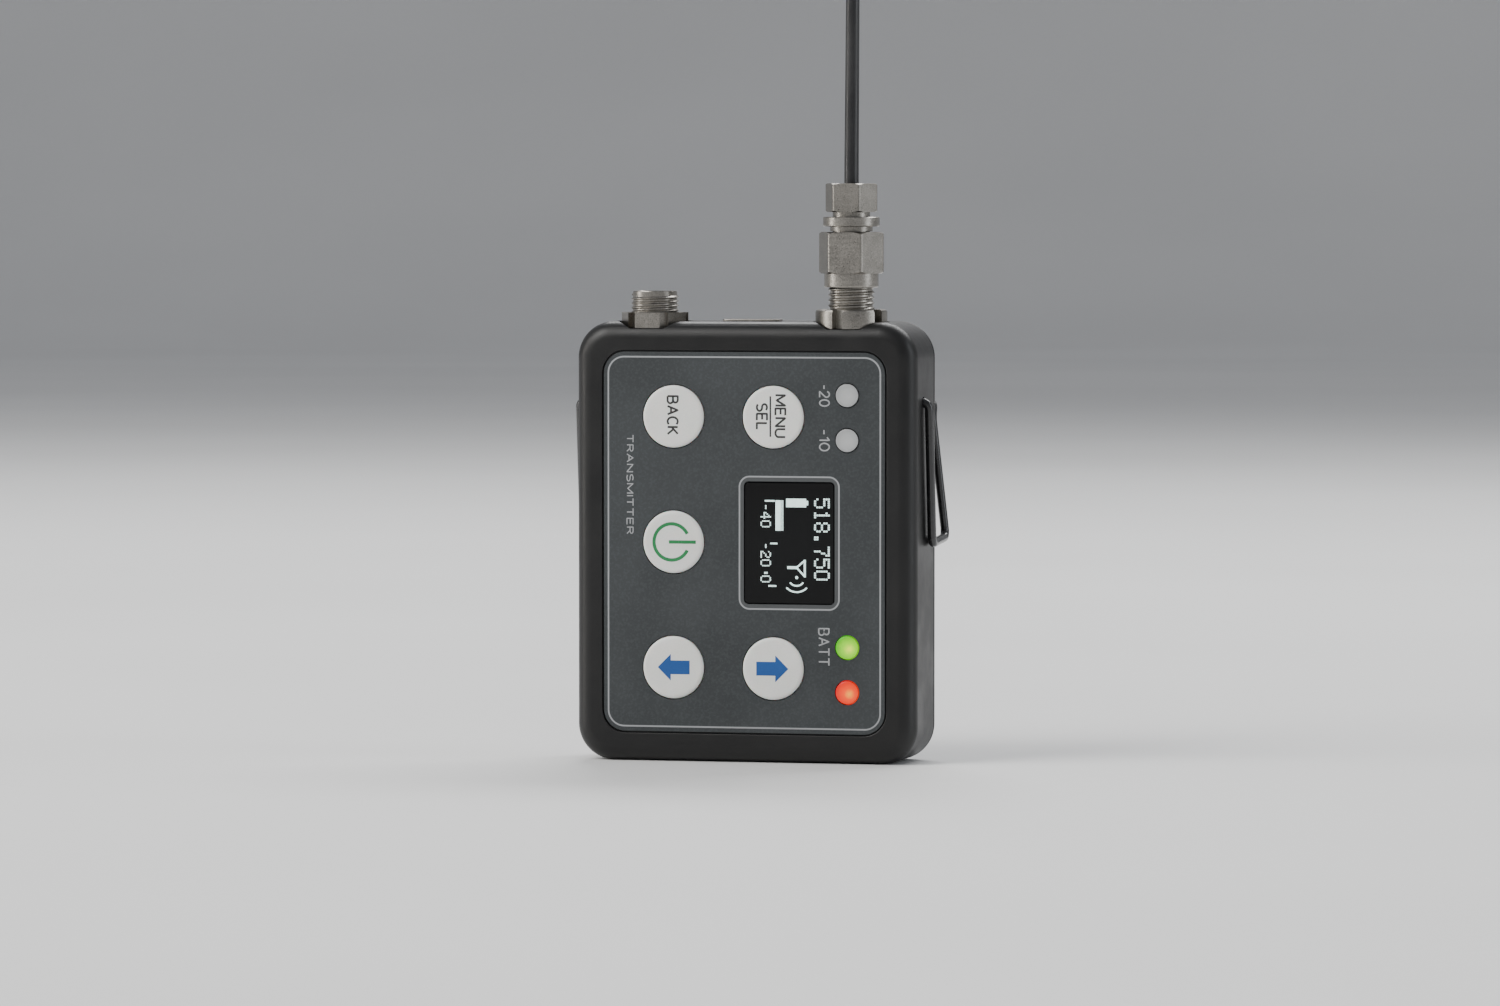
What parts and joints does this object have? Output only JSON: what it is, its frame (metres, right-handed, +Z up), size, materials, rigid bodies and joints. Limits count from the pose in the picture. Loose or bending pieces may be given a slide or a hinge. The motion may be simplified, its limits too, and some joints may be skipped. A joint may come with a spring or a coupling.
{
  "type": "wireless bodypack transmitter",
  "caption": "Pocket-size wireless microphone transmitter with keys, display, lamps, threaded mic jack, screw-on whip antenna and wire belt clip.",
  "frame": {"origin": "middle of the case's bottom face, halfway between the front and back faces", "axes": "+Z up along the case and antenna, the keys and display face -Y, +X to the right seen from the front"},
  "size_m": [0.0502, 0.0177, 0.152],
  "materials": {
    "case_black": "black anodised alloy, satin",
    "panel_grey": "printed overlay film, fine matte grain",
    "key_white": "off-white moulded key, satin",
    "lens_clear": "diffusing lamp lens, unlit",
    "lens_green": "lamp lens, lit green",
    "lens_red": "lamp lens, lit red",
    "display_glass": "black display glass, polished",
    "rubber_black": "soft gasket",
    "board_green": "glass-fibre board with solder mask",
    "shield_tin": "tinned sheet",
    "moulded_black": "moulded, fine texture",
    "battery_wrap": "shrink-wrapped lithium pack",
    "gold": "gold plated contact",
    "nickel": "turned brass, nickel plated",
    "insulator_white": "white insulating sleeve",
    "steel_black": "black coated spring steel",
    "whip_black": "black sleeve over a spring wire",
    "infrared_dark": "dark infrared filter"
  },
  "bodies": {
    "case": {"antenna_jack": "nickel", "antenna_jack_contact": "gold", "antenna_jack_insulator": "insulator_white", "antenna_jack_nut": "nickel", "antenna_jack_washer": "nickel", "audio_shield": "shield_tin", "battery_pack": "battery_wrap", "battery_tray": "moulded_black", "board_connector": "moulded_black", "case_screw_bottom_left": "steel_black", "case_screw_bottom_right": "steel_black", "case_screw_top_left": "steel_black", "case_screw_top_right": "steel_black", "clip_leg_left": "steel_black", "clip_leg_right": "steel_black", "contact_block": "moulded_black", "contact_negative": "gold", "contact_positive": "gold", "contact_sense": "gold", "display_gasket": "rubber_black", "display_module": "display_glass", "display_window": "display_glass", "door_hinge_pin": "nickel", "front_shell": "case_black", "infrared_bezel": "nickel", "infrared_window": "infrared_dark", "keypad_board": "board_green", "lamp_battery_low": "lens_red", "lamp_battery_ok": "lens_green", "lamp_minus_10": "lens_clear", "lamp_minus_20": "lens_clear", "main_board": "board_green", "mic_jack": "nickel", "mic_jack_insert": "moulded_black", "mic_jack_nut": "nickel", "mic_jack_washer": "nickel", "mic_pin_1": "gold", "mic_pin_2": "gold", "mic_pin_3": "gold", "overlay_panel": "panel_grey", "processor": "moulded_black", "radio_shield": "shield_tin", "rear_cover": "case_black", "switch_back": "shield_tin", "switch_left": "shield_tin", "switch_menu": "shield_tin", "switch_power": "shield_tin", "switch_right": "shield_tin"},
    "key_back": {"key_back": "key_white"},
    "key_menu": {"key_menu": "key_white"},
    "key_power": {"key_power": "key_white"},
    "key_left": {"key_left": "key_white"},
    "key_right": {"key_right": "key_white"},
    "battery_door": {"battery_door": "case_black"},
    "clip_loop": {"clip_loop": "steel_black"},
    "antenna": {"antenna_ferrule": "nickel", "antenna_pin": "gold", "antenna_whip": "whip_black", "whip_cap": "whip_black"},
    "coupling_nut": {"coupling_nut": "nickel"}
  },
  "joints": [
    {"name": "key_back_press", "type": "slide", "parent": "case", "child": "key_back", "axis": [0, 1, 0], "range_m": [0, 0.0003], "stiffness_N_per_m": 900, "springref_m": -0.0004},
    {"name": "key_menu_press", "type": "slide", "parent": "case", "child": "key_menu", "axis": [0, 1, 0], "range_m": [0, 0.0003], "stiffness_N_per_m": 900, "springref_m": -0.0004},
    {"name": "key_power_press", "type": "slide", "parent": "case", "child": "key_power", "axis": [0, 1, 0], "range_m": [0, 0.0003], "stiffness_N_per_m": 900, "springref_m": -0.0004},
    {"name": "key_left_press", "type": "slide", "parent": "case", "child": "key_left", "axis": [0, 1, 0], "range_m": [0, 0.0003], "stiffness_N_per_m": 900, "springref_m": -0.0004},
    {"name": "key_right_press", "type": "slide", "parent": "case", "child": "key_right", "axis": [0, 1, 0], "range_m": [0, 0.0003], "stiffness_N_per_m": 900, "springref_m": -0.0004},
    {"name": "battery_door_hinge", "type": "hinge", "parent": "case", "child": "battery_door", "pos_m": [0, 0.00585, 0.0036], "axis": [-1, 0, 0], "range_deg": [0, 90]},
    {"name": "belt_clip_flex", "type": "hinge", "parent": "case", "child": "clip_loop", "pos_m": [0, 0.00045, 0.031], "axis": [-1, 0, 0], "range_deg": [0, 12], "stiffness_Nm_per_rad": 0.25, "springref_deg": -2.86},
    {"name": "antenna_lift", "type": "slide", "parent": "case", "child": "antenna", "axis": [0, 0, 1], "range_m": [0, 0.00353]},
    {"name": "coupling_nut_turn", "type": "hinge", "parent": "antenna", "child": "coupling_nut", "pos_m": [0.0138, -0.0018, 0.068], "axis": [0, 0, 1], "range_deg": [0, 1800]}
  ],
  "couplings": [
    {"joint": "coupling_nut_turn", "follows": "antenna_lift", "rad_per_m": 8904.7}
  ]
}
